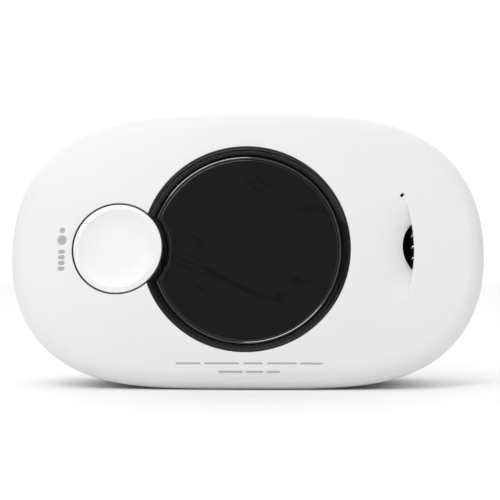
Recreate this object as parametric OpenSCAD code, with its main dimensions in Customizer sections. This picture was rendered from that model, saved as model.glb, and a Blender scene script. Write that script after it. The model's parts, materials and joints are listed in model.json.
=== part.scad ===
// Free-standing and wall-mounted carbon monoxide alarm, battery powered.
// Front is -Y, up is +Z, and the origin is under the middle of the body on the surface it stands on.
// The front half is drawn in a face frame (u right, v up the face, w out of the face) that leans back.
// The parting plane between the two housing halves is w = 0.

/* [Body] */
// Width of the body
body_w = 118; // [116:1:122]
// Height of the face, measured along the face
face_h = 69.4; // [69:0.2:71]
// Depth of the body from the wall plane to the most forward point
body_d = 40; // [40:1:44]
// Angle by which the face leans back
lean = 10; // [9:1:11]
// Wall thickness of the housings
wall = 2; // [1.8:0.1:2.2]
// Radius of the crowned front face
crown_r = 400; // [380:20:500]
// Radius of the rounded edge of the front face
edge_r = 4.5; // [4:0.1:5]

/* [Window] */
// Radius of the hole for the round black window
window_r = 25.6; // [25:0.1:26]
// Depth of the window glass below the rim of its bezel
window_sink = 2.2; // [1.8:0.1:2.4]

/* [Button] */
// Radius of the test button's cap
button_r = 11; // [10.6:0.1:11.2]
// Travel of the test button
button_travel = 0.5; // [0.3:0.1:0.5]

/* [Sound port] */
// Radius of the curved edge that ends the sound port's scoop
scoop_edge_r = 38.5; // [38:0.1:39]
// Radius of the sound port below the scoop
port_r = 8.1; // [7.8:0.1:8.2]

/* [Power] */
// Number of cells
cell_count = 3; // [3:1:3]
// Diameter of a cell
cell_d = 14.5; // [14:0.1:14.5]
// Length of a cell
cell_l = 50.4; // [50:0.1:50.5]

/* [Wall fixing] */
// Distance between the two keyholes
keyhole_spacing = 76; // [74:1:78]
// Radius of a keyhole's round entry
keyhole_r = 4; // [3.5:0.1:4]

/* [Hidden] */

// Body and face frame
fine = 96;
ring_count = 72;
half_w = body_w / 2;
half_h = face_h / 2;
round_u = 3.76;
round_v = 2.18;
back_y = body_d / 2;
crown_w = 16.4;
side_draft = 1.8;
side_w = crown([0, half_h]) - edge_r;
front_v = half_h - edge_r * (1 - sin(lean));
front_w = crown([0, front_v]) - edge_r * (1 - cos(lean));
face_y = front_w * cos(lean) + front_v * sin(lean) - back_y;
cover_lift = 0.1;
cavity_w = 4;
cavity_step = 0.6;
face_z = half_h * cos(lean) - side_w * sin(lean) + cover_lift;

// Rear housing
rear_step = side_draft + 0.6;
rear_taper = 4.2;
rear_drop = 7.2;
rear_corner = 4;
base_dip = 1.1;
lip_gap = 0.2;
lip_wall = 1.2;
lip_h = 1.5;

// Screws that join the two halves, in the face frame
case_u = 40;
case_v = 19.5;
case_boss_r = 3.4;
case_shaft_r = 1.45;
case_hole_r = 1.6;
case_head_r = 2.8;
case_head_h = 2.2;
case_seat_w = -8;
case_well_r = 3.4;
case_post_r = 4.8;
case_screw_l = 14;

// Circuit board, in the face frame
board_w = 2;
board_t = 1.6;
board_top = board_w + board_t;
board_inset = 5;
board_screw_u = 20;
board_screw_v = 26;
board_boss_r = 2.8;
board_shaft_r = 1.2;
board_head_r = 2.2;
board_head_h = 1.4;

// Window and bezel
window_v = -0.7;
rim_w = crown_w - window_r * window_r / (2 * crown_r);
glass_top = rim_w - window_sink;
glass_t = 1.5;
bezel_gap = 0.1;
bezel_slope = 2;
bezel_inner_r = window_r - bezel_gap - bezel_slope;
bezel_flange_r = window_r + 1.9;
bezel_bottom = glass_top - glass_t - 0.2;
ledge_r = bezel_inner_r - 1.2;

// Test button
button_u = -31.5;
button_v = -0.8;
button_gap = 0.4;
button_clearance = 0.15;
sleeve_gap = 0.05;
button_hole_r = button_r + button_gap;
notch_r = button_hole_r + 1.3;
dish_r = button_r - 1.25;
dish_depth = 1.1;
button_flange_r = button_r + 1.2;
button_flange_w = 9.2;
button_flange_t = 1;
button_hollow_h = 2;
stem_r = 2.2;
stem_h = 5;

// Tactile switch under the button
switch_side = 6;
switch_h = 3.5;
plunger_r = 1.75;
plunger_gap = 0.05;
plunger_top = board_top + switch_h + 0.9;
plunger_bottom = board_top + 2.2;
plunger_floor = plunger_bottom - button_travel - 0.1;
stem_bottom = plunger_top + 0.05;

// Sound port and sounder
scoop_u = 2.5;
scoop_v = -0.4;
port_u = 46.5;
port_v = 0;
port_wall = 2.2;
scoop_ball_r = 46.8;
scoop_ball_u = 55;
scoop_ball_w = 56;
rib_w = 0.4;
rib_l = 0.5;
rib_pitch = 2.8;
rib_v = -0.3;
pinhole_u = 38.4;
pinhole_v = 12.7;
pinhole_l = 1.1;
pinhole_d = 0.7;
pinhole_turn = 48;
horn_u = 42.5;
horn_r = 12;
horn_h = 4.4;
horn_wall = 1;
horn_cavity_h = 2.2;
horn_outlet_r = 3;
piezo_t = 0.4;
mesh_u = port_u - 6.3;
mesh_w = board_top + horn_h + 0.1;
mesh_t = 0.3;

// Display
display_v = 3;
glass_w = 31;
glass_h = 18;
glass_d = 2;
frame_w = 34.4;
frame_h = 22;
frame_wall = 1.5;
display_top = bezel_bottom - 0.3;

// Indicators
led_v = -15;
led_pitch = 9;
led_r = 1.5;
led_h = 5;
guide_bottom = board_top + led_h + 0.3;

// Gas sensor
sensor_u = -39;
sensor_v = 0;
sensor_r = 7.2;
sensor_l = 14;
filter_t = 1.2;

// Other parts on the board
coil_place = [27, -21];
coil_r = 3.2;
coil_flange_r = 4;
coil_h = 6;
capacitor_places = [[-29, -19.5], [-22, -18.4]];
capacitor_r = 3.1;
capacitor_h = 7;
controller_place = [-13, -17];
controller_side = 10;
controller_h = 1.2;
chip_place = [4, -10];
chip_size = [1.6, 0.8, 0.6];
chip_pitch = [3, 3.4];
pin_circle_r = 3.2;
pin_wire_r = 0.45;

// Cells, their bay and door, in the body's own frame
cell_y = 10.6;
cell_pitch = 15;
cell_z = 13.5;
bay_half = 28.2;
bay_low = 5.6;
bay_high = bay_low + 45.8;
bay_wall = 1.2;
bay_front = 3.1;
contact_t = 0.4;
door_gap = 0.3;
door_half = bay_half + 0.7;
door_t = 1.85;
door_top = bay_high + 0.7;
hinge_r = 1.6;
hinge_y = back_y - hinge_r;
hinge_z = bay_low + 0.8;
hinge_gap = 0.2;
hinge_block = 4.4;
pin_r = 1;
pin_l = 1.6;
pin_gap = 0.05;
label_half = 21;
label_low = 16;
label_h = 26;
label_t = 0.2;
label_sink = 0.1;
keyhole_z = 31;
vent_z = 16;
vent_pitch = 3.4;
keyhole_slot = 7;
keyhole_slot_w = 4.2;

// Face frame: everything inside is drawn with u along x, v along y and w along z
module face_frame() {
    translate([0, face_y, face_z]) rotate([90 - lean, 0, 0]) children();
}

// Newton steps for the distance along a ray at which the flattened oval's formula reaches 1
function oval_reach(cu, cv, r, steps = 9) = steps == 0 ? r : oval_reach(cu, cv, r
    - (pow(r * cu, round_u) + pow(r * cv, round_v) - 1)
    / (round_u * cu * pow(r * cu, round_u - 1) + round_v * cv * pow(r * cv, round_v - 1)),
    steps - 1);

// Point of the flattened oval with half-sizes a and b in the direction of an angle
function oval_point(a, b, angle) =
    let (cu = abs(cos(angle)) / a + 1e-9, cv = abs(sin(angle)) / b + 1e-9)
    let (r = oval_reach(cu, cv, 1 / max(cu, cv)))
    [r * cos(angle), r * sin(angle)];

function oval(a, b) = [for (i = [0 : ring_count - 1]) oval_point(a, b, i * 360 / ring_count)];

// Height of the crowned face above the parting plane
function crown(p) = crown_w - crown_r + sqrt(crown_r * crown_r - p[0] * p[0] - p[1] * p[1]);

// Ring at the parting plane, where the drafted side is narrower than the face
function foot_ring() = [for (p = oval(half_w - side_draft, half_h - side_draft)) [p[0], p[1], 0]];

// Ring of the front face's rounded edge, from its foot (turn 0) to the crown (turn 90)
function edge_ring(turn) =
    let (inset = edge_r * (1 - cos(turn)))
    [for (p = oval(half_w - inset, half_h - inset)) [p[0], p[1], crown(p) - edge_r * (1 - sin(turn))]];

// Ring of the crowned face, as a share of the last edge ring
function crown_ring(share) =
    [for (p = oval(half_w - edge_r, half_h - edge_r)) let (q = p * share) [q[0], q[1], crown(q)]];

// Closed solid through rings of equal count, from the first ring to the last
module ring_solid(rings) {
    count = len(rings[0]);
    last = len(rings) - 1;
    sides = [for (k = [0 : last - 1], i = [0 : count - 1]) let (j = (i + 1) % count)
        [k * count + i, (k + 1) * count + i, (k + 1) * count + j, k * count + j]];
    first_cap = [[for (i = [0 : count - 1]) i]];
    last_cap = [[for (i = [count - 1 : -1 : 0]) last * count + i]];
    polyhedron(points = [for (ring = rings) each ring], faces = concat(sides, first_cap, last_cap),
        convexity = 6);
}

// Straight prism of the face's oval, inset from the outline, between two heights
module oval_prism(inset, low, high) {
    translate([0, 0, low]) linear_extrude(high - low) polygon(oval(half_w - inset, half_h - inset));
}

// Ring of the rear housing at a share of the way back, inset for the inside surface
function rear_ring(share, inset) =
    let (foot_low = face_z - (half_h - rear_step) * cos(lean))
    let (low = share == 0 ? foot_low : inset > 1 ? 0 : -base_dip)
    let (top = face_z + (half_h - rear_step) * cos(lean) - rear_drop * share)
    let (tilt = lean * (1 - share), a = half_w - rear_step - rear_taper * share - inset)
    let (b = (top - low) / 2 / cos(tilt) - inset, y = face_y + (back_y - rear_corner - face_y) * share)
    [for (p = oval(a, b)) [p[0], y + p[1] * sin(tilt), (top + low) / 2 + p[1] * cos(tilt)]];

// Ring of the rear housing's rounded back edge
function back_ring(turn, inset) =
    let (r = rear_corner - inset, cut = r * (1 - cos(turn)))
    [for (p = rear_ring(1, inset + cut)) [p[0], back_y - rear_corner + r * sin(turn), p[2]]];

// Rings of the rear housing from its back to the parting plane
function rear_rings(inset) = concat([for (turn = [90 : -22.5 : 0]) back_ring(turn, inset)],
    [for (share = [0.55, 0.12, 0]) rear_ring(share, inset)]);

// Open cup: the outside from the back to the parting plane, then the inside back again
module rear_cup() {
    inner = rear_rings(wall);
    ring_solid(concat(rear_rings(0), [for (k = [len(inner) - 1 : -1 : 0]) inner[k]]));
}

module at_case_screws() {
    for (side = [-1, 1], end = [-1, 1]) translate([side * case_u, end * case_v, 0]) children();
}

module at_board_screws() {
    for (side = [-1, 1], end = [-1, 1]) translate([side * board_screw_u, end * board_screw_v, 0])
        children();
}

module crown_ball(shrink) {
    translate([0, 0, crown_w - crown_r]) sphere(r = crown_r - shrink, $fn = 180);
}

// Space inside the curved edge that ends the scoop
module scoop_space() {
    intersection() {
        translate([scoop_u, scoop_v, 0]) cylinder(r = scoop_edge_r, h = 30, $fn = 180);
        translate([scoop_ball_u, scoop_v, scoop_ball_w]) sphere(r = scoop_ball_r, $fn = 120);
    }
}

module front_cover() {
    color("whitesmoke") face_frame() difference() {
        union() {
            difference() {
                ring_solid(concat([foot_ring()], [for (turn = [0 : 15 : 90]) edge_ring(turn)],
                    [for (share = [0.85, 0.7, 0.55]) crown_ring(share)]));
                intersection() {
                    union() {
                        oval_prism(wall + side_draft, -1, crown_w);
                        oval_prism(wall + side_draft * cavity_step, cavity_w, crown_w);
                    }
                    crown_ball(wall);
                }
            }
            intersection() {
                crown_ball(wall / 2);
                union() {
                    at_case_screws() cylinder(r = case_boss_r, h = crown_w, $fn = fine);
                    translate([0, 0, board_top]) at_board_screws()
                        cylinder(r = board_boss_r, h = crown_w, $fn = fine);
                    translate([mesh_u, port_v, mesh_w + mesh_t + 0.3])
                        cylinder(r = port_r + port_wall, h = crown_w, $fn = fine);
                }
            }
        }
        translate([0, window_v, 0]) cylinder(r = window_r, h = 30, $fn = 180);
        translate([button_u, button_v, 0]) cylinder(r = button_hole_r, h = 30, $fn = fine);
        scoop_space();
        sound_port();
        translate([pinhole_u, pinhole_v, crown_w / 2]) rotate([0, 0, pinhole_turn])
            translate([-pinhole_l / 2, -pinhole_d / 2, 0]) cube([pinhole_l, pinhole_d, crown_w]);
        at_case_screws() translate([0, 0, -1]) cylinder(r = case_shaft_r + 0.05, h = 9, $fn = fine);
        at_board_screws() translate([0, 0, board_top - 1])
            cylinder(r = board_shaft_r + 0.05, h = 6, $fn = fine);
    }
}

// Crescent opening at the foot of the scoop, with three short ribs on its outer edge
module sound_port() {
    difference() {
        intersection() {
            translate([scoop_u, scoop_v, board_top]) cylinder(r = scoop_edge_r, h = 30, $fn = 180);
            translate([port_u, port_v, board_top]) cylinder(r = port_r, h = 30, $fn = fine);
        }
        for (step = [-1, 0, 1])
            translate([scoop_u + scoop_edge_r - rib_l, rib_v + step * rib_pitch, 0])
                cube([3, rib_w, crown_w - 5]);
    }
}

module rear_housing() {
    color("gainsboro") difference() {
        union() {
            rear_cup();
            intersection() {
                ring_solid(rear_rings(1));
                union() {
                    bay_box(bay_wall, bay_front - 0.8);
                    hinge_blocks();
                    face_frame() at_case_screws() translate([0, 0, -40])
                        cylinder(r = case_post_r, h = 40, $fn = fine);
                }
            }
            face_frame() difference() {
                oval_prism(side_draft + wall + lip_gap, -1.5, lip_h);
                oval_prism(side_draft + wall + lip_gap + lip_wall, -2, lip_h + 1);
            }
        }
        translate([-100, -100, -20]) cube([200, 200, 20]);
        bay_box(0, bay_front);
        translate([-door_half - door_gap, back_y - wall - 1, hinge_z])
            cube([2 * (door_half + door_gap), wall + 2, door_top + door_gap - hinge_z]);
        along_hinge(door_half + door_gap) circle(r = hinge_r + hinge_gap, $fn = fine);
        along_hinge(door_half + door_gap) translate([0, -hinge_r - hinge_gap])
            square([hinge_r + 1, hinge_r + hinge_gap]);
        along_hinge(door_half + pin_l + door_gap) circle(r = pin_r + pin_gap, $fn = fine);
        face_frame() at_case_screws() {
            translate([0, 0, -50]) cylinder(r = case_well_r, h = 50 + case_seat_w, $fn = fine);
            translate([0, 0, case_seat_w - 1]) cylinder(r = case_hole_r, h = 12, $fn = fine);
        }
        for (side = [-1, 1]) {
            keyhole(side * keyhole_spacing / 2);
            vents(side);
        }
    }
}

// Bar along the hinge axis, centred on the body
module along_hinge(half_length) {
    translate([-half_length, hinge_y, hinge_z]) rotate([90, 0, 90])
        linear_extrude(2 * half_length) children();
}

module bay_box(grow, front) {
    translate([-bay_half - grow, front, bay_low - grow])
        cube([2 * (bay_half + grow), back_y + 1 - front, bay_high - bay_low + 2 * grow]);
}

module hinge_blocks() {
    for (side = [-1, 1])
        translate([side * (door_half + door_gap + 1) - 1, hinge_y - hinge_block / 2, hinge_z - hinge_block / 2])
            cube([2, 6, hinge_block]);
}

// Round entry with a narrower slot above it, through the back wall
module keyhole(x) {
    translate([x, back_y + 1, keyhole_z]) rotate([90, 0, 0]) {
        cylinder(r = keyhole_r, h = wall + 2, $fn = fine);
        translate([0, keyhole_slot, 0]) cylinder(r = keyhole_slot_w / 2, h = wall + 2, $fn = fine);
        translate([-keyhole_slot_w / 2, 0, 0]) cube([keyhole_slot_w, keyhole_slot, wall + 2]);
    }
}

// Row of gas slots through the back wall
module vents(side) {
    for (step = [0 : 2])
        translate([side * case_u - 5, back_y - wall - 1, vent_z + step * vent_pitch])
            cube([10, wall + 2, 1.5]);
}

module battery_door() {
    color("whitesmoke") difference() {
        union() {
            translate([-door_half, back_y - door_t, hinge_z])
                cube([2 * door_half, door_t, door_top - hinge_z]);
            along_hinge(door_half) circle(r = hinge_r, $fn = fine);
            along_hinge(door_half + pin_l) circle(r = pin_r, $fn = fine);
        }
        translate([0, back_y + 2.4, door_top - 4]) rotate([0, 90, 0])
            translate([0, 0, -8]) cylinder(r = 3.4, h = 16, $fn = fine);
        translate([-label_half - 0.2, back_y - label_t - label_sink, label_low - 0.2])
            cube([2 * label_half + 0.4, 1, label_h + 0.4]);
    }
}

module rating_label() {
    color("silver") translate([-label_half, back_y - label_t - label_sink, label_low])
        cube([2 * label_half, label_t, label_h]);
}

module window_bezel() {
    color("black") face_frame() difference() {
        union() {
            translate([0, window_v, 0]) rotate_extrude($fn = 180) polygon([
                [ledge_r, bezel_bottom],
                [bezel_flange_r, bezel_bottom],
                [bezel_flange_r, bezel_bottom + 1],
                [window_r - bezel_gap, bezel_bottom + 1],
                [window_r - bezel_gap, rim_w],
                [window_r - bezel_gap - 0.4, rim_w],
                [bezel_inner_r, glass_top],
                [bezel_inner_r, glass_top - glass_t],
                [ledge_r, glass_top - glass_t]]);
            intersection() {
                translate([0, window_v, bezel_bottom])
                    cylinder(r = window_r - bezel_gap - 0.2, h = 10, $fn = 180);
                translate([button_u, button_v, 0]) rotate_extrude($fn = fine) polygon([
                    [button_hole_r - 1, bezel_bottom],
                    [notch_r, bezel_bottom],
                    [notch_r, glass_top],
                    [button_hole_r + 0.4, rim_w],
                    [button_hole_r - 1, rim_w]]);
            }
            intersection() {
                translate([button_u, button_v, bezel_bottom])
                    cylinder(r = button_hole_r - sleeve_gap, h = 10, $fn = fine);
                crown_ball(0);
            }
        }
        translate([button_u, button_v, 0]) cylinder(r = button_r + button_clearance, h = 30, $fn = fine);
    }
}

module display_window() {
    color("black") face_frame() difference() {
        translate([0, window_v, glass_top - glass_t])
            cylinder(r = bezel_inner_r - 0.05, h = glass_t, $fn = 180);
        translate([button_u, button_v, 0]) cylinder(r = notch_r + 0.05, h = 30, $fn = fine);
    }
}

module test_button() {
    color("white") face_frame() difference() {
        union() {
            intersection() {
                translate([button_u, button_v, button_flange_w])
                    cylinder(r = button_r, h = 20, $fn = fine);
                crown_ball(0);
            }
            translate([button_u, button_v, button_flange_w])
                cylinder(r = button_flange_r, h = button_flange_t, $fn = fine);
            translate([button_u, button_v, stem_bottom])
                cylinder(r = stem_r, h = stem_h, $fn = fine);
        }
        difference() {
            translate([button_u, button_v, button_flange_w + button_flange_t])
                cylinder(r = dish_r, h = 20, $fn = fine);
            crown_ball(dish_depth);
        }
        difference() {
            translate([button_u, button_v, 0])
                cylinder(r = dish_r, h = button_flange_w + button_hollow_h, $fn = fine);
            translate([button_u, button_v, 0]) cylinder(r = stem_r, h = 30, $fn = fine);
        }
    }
}

module main_board() {
    color("darkgreen") face_frame() difference() {
        oval_prism(board_inset, board_w, board_top);
        at_case_screws() cylinder(r = case_boss_r + 0.6, h = 10, $fn = fine);
        at_board_screws() cylinder(r = board_shaft_r + 0.2, h = 10, $fn = fine);
        at_sensor_pins() cylinder(r = 0.6, h = 10, $fn = fine);
    }
}

module display_glass() {
    color("slategray") face_frame() translate([-glass_w / 2, display_v - glass_h / 2, display_top - glass_d])
        cube([glass_w, glass_h, glass_d]);
}

module display_frame() {
    color("dimgray") face_frame() difference() {
        translate([-frame_w / 2, display_v - frame_h / 2, board_top])
            cube([frame_w, frame_h, display_top - board_top]);
        translate([-glass_w / 2 - 0.1, display_v - glass_h / 2 - 0.1, display_top - glass_d])
            cube([glass_w + 0.2, glass_h + 0.2, glass_d + 1]);
        translate([-frame_w / 2 + frame_wall + 1, display_v - glass_h / 2, board_top - 1])
            cube([frame_w - 2 * frame_wall - 2, glass_h, 20]);
    }
}

module display_connectors() {
    color("dimgray") face_frame() for (side = [-1, 1])
        translate([-13, display_v + side * 7.2 - 1, board_top])
            cube([26, 2, display_top - glass_d - board_top]);
}

module led(u) {
    face_frame() translate([u, led_v, board_top]) {
        cylinder(r = led_r + 0.4, h = 1, $fn = fine);
        cylinder(r = led_r, h = led_h - led_r, $fn = fine);
        translate([0, 0, led_h - led_r]) sphere(r = led_r, $fn = fine);
    }
}

module led_power() {
    color("limegreen") led(-led_pitch);
}

module led_fault() {
    color("gold") led(0);
}

module led_alarm() {
    color("red") led(led_pitch);
}

module light_guide() {
    color("lightgray") face_frame() translate([-12, led_v - 2.4, guide_bottom])
        cube([24, 4.8, bezel_bottom - 0.2 - guide_bottom]);
}

module tact_switch() {
    color("black") face_frame() translate([button_u, button_v, board_top]) difference() {
        translate([-switch_side / 2, -switch_side / 2, 0]) cube([switch_side, switch_side, switch_h]);
        translate([0, 0, plunger_floor - board_top])
            cylinder(r = plunger_r + plunger_gap, h = switch_h, $fn = fine);
    }
}

module switch_plunger() {
    color("ivory") face_frame() translate([button_u, button_v, plunger_bottom])
        cylinder(r = plunger_r, h = plunger_top - plunger_bottom, $fn = fine);
}

module horn_housing() {
    color("black") face_frame() translate([horn_u, port_v, board_top]) difference() {
        cylinder(r = horn_r, h = horn_h, $fn = fine);
        translate([0, 0, horn_wall])
            cylinder(r = horn_r - 2 * horn_wall, h = horn_cavity_h, $fn = fine);
        cylinder(r = horn_outlet_r, h = 20, $fn = fine);
    }
}

module piezo_disc() {
    color("gold") face_frame() translate([horn_u, port_v, board_top + horn_wall])
        cylinder(r = horn_r - 2 * horn_wall - 0.1, h = piezo_t, $fn = fine);
}

module insect_mesh() {
    color("black") face_frame() translate([mesh_u, port_v, mesh_w])
        cylinder(r = port_r + port_wall - 0.6, h = mesh_t, $fn = fine);
}

module horn_coil() {
    color("saddlebrown") face_frame() translate([coil_place[0], coil_place[1], board_top]) {
        cylinder(r = coil_flange_r, h = 1, $fn = fine);
        cylinder(r = coil_r, h = coil_h, $fn = fine);
        translate([0, 0, coil_h - 1]) cylinder(r = coil_flange_r, h = 1, $fn = fine);
    }
}

module co_sensor() {
    color("silver") face_frame() translate([sensor_u, sensor_v, board_w - sensor_l]) difference() {
        cylinder(r = sensor_r, h = sensor_l, $fn = fine);
        translate([0, 0, -1]) cylinder(r = sensor_r - 1.2, h = 1 + filter_t, $fn = fine);
    }
}

module sensor_filter() {
    color("dimgray") face_frame() translate([sensor_u, sensor_v, board_w - sensor_l])
        cylinder(r = sensor_r - 1.3, h = filter_t, $fn = fine);
}

module at_sensor_pins() {
    for (angle = [90, 210, 330])
        translate([sensor_u + pin_circle_r * cos(angle), sensor_v + pin_circle_r * sin(angle), 0])
            children();
}

module sensor_pins() {
    color("goldenrod") face_frame() at_sensor_pins() translate([0, 0, board_w])
        cylinder(r = pin_wire_r, h = board_t + 0.9, $fn = fine);
}

module microcontroller() {
    color("black") face_frame()
        translate([controller_place[0], controller_place[1], board_w - controller_h])
            cube([controller_side, controller_side, controller_h]);
}

module capacitors() {
    color("darkslategray") face_frame() for (place = capacitor_places)
        translate([place[0], place[1], board_top]) cylinder(r = capacitor_r, h = capacitor_h, $fn = fine);
}

module chip_parts() {
    color("tan") face_frame() for (column = [0 : 5], row = [0, 1])
        translate([chip_place[0] + column * chip_pitch[0], chip_place[1] - row * chip_pitch[1],
            board_w - chip_size[2]]) cube(chip_size);
}

// Cell number 0, 1 or 2 from the bottom; the middle one points the other way
module cell(number) {
    way = number == 1 ? -1 : 1;
    tip = bay_half - contact_t;
    translate([way * tip, cell_y, cell_z + number * cell_pitch]) rotate([0, -way * 90, 0])
        rotate_extrude($fn = fine) polygon([[0, 0], [2.75, 0], [2.75, 1.5], [cell_d / 2 - 0.6, 1.5],
            [cell_d / 2, 2.1], [cell_d / 2, cell_l - 0.4], [cell_d / 2 - 0.4, cell_l], [0, cell_l]]);
}

module battery_1() {
    color("darkslategray") cell(0);
}

module battery_2() {
    color("darkslategray") cell(1);
}

module battery_3() {
    color("darkslategray") cell(2);
}

// Conical coil of round wire, from the contact plate to the flat end of a cell
module coil_spring(length) {
    wire = 0.4;
    turns = 3;
    steps = 16;
    sides = 6;
    ring_solid([for (k = [0 : turns * steps]) let (share = k / (turns * steps), angle = 360 * k / steps)
        let (radius = 5 - 2.2 * share, along = wire + (length - 2 * wire) * share)
        [for (i = [0 : sides - 1]) let (turn = -i * 360 / sides, r = radius + wire * cos(turn))
            [r * cos(angle), r * sin(angle), along + wire * sin(turn)]]]);
}

module battery_springs() {
    length = 2 * (bay_half - contact_t) - cell_l;
    color("silver") for (number = [0 : cell_count - 1]) let (way = number == 1 ? 1 : -1)
        translate([way * (bay_half - contact_t), cell_y, cell_z + number * cell_pitch])
            rotate([0, -way * 90, 0]) coil_spring(length);
}

module battery_contacts() {
    color("silver") for (side = [-1, 1], number = [0 : cell_count - 1])
        translate([side * (bay_half - contact_t / 2) - contact_t / 2, cell_y - 5.5,
            cell_z + number * cell_pitch - 6]) cube([contact_t, 11, 12]);
}

module case_screws() {
    color("silver") face_frame() at_case_screws() difference() {
        union() {
            translate([0, 0, case_seat_w - case_head_h])
                cylinder(r = case_head_r, h = case_head_h, $fn = fine);
            translate([0, 0, case_seat_w])
                cylinder(r = case_shaft_r, h = case_screw_l, $fn = fine);
        }
        cross_slot(case_seat_w - case_head_h);
    }
}

module board_screws() {
    color("silver") face_frame() at_board_screws() difference() {
        union() {
            translate([0, 0, board_w - board_head_h])
                cylinder(r = board_head_r, h = board_head_h, $fn = fine);
            translate([0, 0, board_w]) cylinder(r = board_shaft_r, h = 6, $fn = fine);
        }
        cross_slot(board_w - board_head_h);
    }
}

// Cross recess in a screw head that faces -w
module cross_slot(low) {
    for (turn = [0, 90]) rotate([0, 0, turn]) translate([-1.3, -0.35, low - 1]) cube([2.6, 0.7, 2]);
}

front_cover();
rear_housing();
battery_door();
rating_label();
window_bezel();
display_window();
test_button();
main_board();
display_glass();
display_frame();
display_connectors();
led_power();
led_fault();
led_alarm();
light_guide();
tact_switch();
switch_plunger();
horn_housing();
piezo_disc();
insect_mesh();
horn_coil();
co_sensor();
sensor_filter();
sensor_pins();
microcontroller();
capacitors();
chip_parts();
battery_1();
battery_2();
battery_3();
battery_springs();
battery_contacts();
case_screws();
board_screws();
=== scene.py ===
"""Visual model of a free-standing carbon monoxide alarm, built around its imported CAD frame.

Lengths inside the modelling helpers are millimetres. The face frame has u to the right, v up the
face and w out of the face; face_point() and MM turn them into the frame's own metres.
"""
import json
import math

import bmesh
import bpy
from mathutils import Matrix, Vector
from mathutils.geometry import delaunay_2d_cdt


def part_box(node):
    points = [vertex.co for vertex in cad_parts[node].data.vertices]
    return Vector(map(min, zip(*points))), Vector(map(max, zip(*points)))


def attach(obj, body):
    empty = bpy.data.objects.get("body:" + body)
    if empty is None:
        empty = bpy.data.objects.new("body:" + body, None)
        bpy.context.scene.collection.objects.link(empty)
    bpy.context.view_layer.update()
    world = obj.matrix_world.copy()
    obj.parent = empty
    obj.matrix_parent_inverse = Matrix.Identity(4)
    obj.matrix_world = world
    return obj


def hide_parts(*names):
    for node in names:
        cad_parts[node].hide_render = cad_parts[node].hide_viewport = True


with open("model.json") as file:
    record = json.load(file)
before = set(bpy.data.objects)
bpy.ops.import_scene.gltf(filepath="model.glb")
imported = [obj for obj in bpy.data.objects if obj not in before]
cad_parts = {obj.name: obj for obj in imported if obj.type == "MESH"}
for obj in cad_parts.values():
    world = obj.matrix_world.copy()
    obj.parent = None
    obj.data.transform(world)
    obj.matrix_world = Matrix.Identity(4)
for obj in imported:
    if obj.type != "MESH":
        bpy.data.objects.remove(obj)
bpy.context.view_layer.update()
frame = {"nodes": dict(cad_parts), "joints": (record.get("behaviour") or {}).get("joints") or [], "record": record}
MM = 0.001

# ---------------------------------------------------------------- driving dimensions, some from the frame

JOINTS = {j["name"]: j for j in frame["joints"]}
NORMAL = -Vector(JOINTS["button_press"]["axis"]).normalized()
RIGHT = Vector((1, 0, 0))
UP = NORMAL.cross(RIGHT)
LEAN = math.asin(NORMAL.z)


def box_mm(node):
    low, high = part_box(node)
    return low / MM, high / MM


BOARD_MID_W = 2.8
board_low, board_high = box_mm("main_board")
FACE_ORIGIN = (board_low + board_high) / 2 - NORMAL * BOARD_MID_W

cover_low, cover_high = box_mm("front_cover")
HALF_W = (cover_high.x - cover_low.x) / 2
HALF_H = 34.7
ROUND_U, ROUND_V = 3.76, 2.18
CROWN_W, CROWN_R = 16.4, 400.0
EDGE_R = 4.5
SIDE_DRAFT = 1.8
COVER_T = 1.8
WALL = 2.0

WINDOW = (0.0, -0.7)
WINDOW_R = 25.6
NOTCH_SHARE = 0.56
RIM_W = CROWN_W - WINDOW_R ** 2 / (2 * CROWN_R)
BUTTON = (-31.5, -0.8)
BUTTON_R = 11.0
BUTTON_GAP = 0.4
HOLE_R = BUTTON_R + BUTTON_GAP
SLEEVE_IN, SLEEVE_OUT = BUTTON_R + 0.15, HOLE_R - 0.05

SCOOP = (2.5, -0.4)
SCOOP_R = 38.5
SCOOP_DEPTH = 3.0
SCOOP_REACH = 8.7
SCOOP_WALL, SCOOP_RIM = 0.08, 0.3
SCOOP_TOP, SCOOP_BOTTOM = 12.6, 13.4
PORT = (46.5, 0.0)
PORT_R = 8.1
RIB_V, RIB_PITCH, RIB_HEIGHT = -0.1, 2.8, 2.4
PINHOLE = (38.4, 12.7)
PINHOLE_L, PINHOLE_D, PINHOLE_TURN = 1.15, 0.75, 48.0

CASE_U, CASE_V = 40.0, 19.5
CASE_BOSS = (3.4, 1.5, 0.0, 8.0)
BOARD_SCREW_U, BOARD_SCREW_V = 20.0, 26.0
BOARD_BOSS = (2.8, 1.25, 3.6, 5.0)

BACK_Y = box_mm("rear_housing")[1].y
REAR_STEP, REAR_TAPER, REAR_DROP, REAR_CORNER = SIDE_DRAFT + 0.6, 4.2, 7.2, 4.0
BASE_DIP = 1.1


def face_point(u, v, w):
    """Face-frame millimetres to frame metres."""
    return (FACE_ORIGIN + RIGHT * u + UP * v + NORMAL * w) * MM


# ---------------------------------------------------------------- outlines and surface formulas

def oval_point(a, b, angle):
    """Point of the flattened oval with half-sizes a and b in the direction of an angle (radians)."""
    cu, cv = abs(math.cos(angle)) / a + 1e-9, abs(math.sin(angle)) / b + 1e-9
    r = 1 / max(cu, cv)
    for _ in range(12):
        pu, pv = (r * cu) ** ROUND_U, (r * cv) ** ROUND_V
        r -= (pu + pv - 1) * r / (ROUND_U * pu + ROUND_V * pv)
    return r * math.cos(angle), r * math.sin(angle)


def oval(a, b, count):
    return [oval_point(a, b, 2 * math.pi * i / count) for i in range(count)]


def crown(u, v):
    return CROWN_W - CROWN_R + math.sqrt(CROWN_R ** 2 - u * u - v * v)


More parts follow.
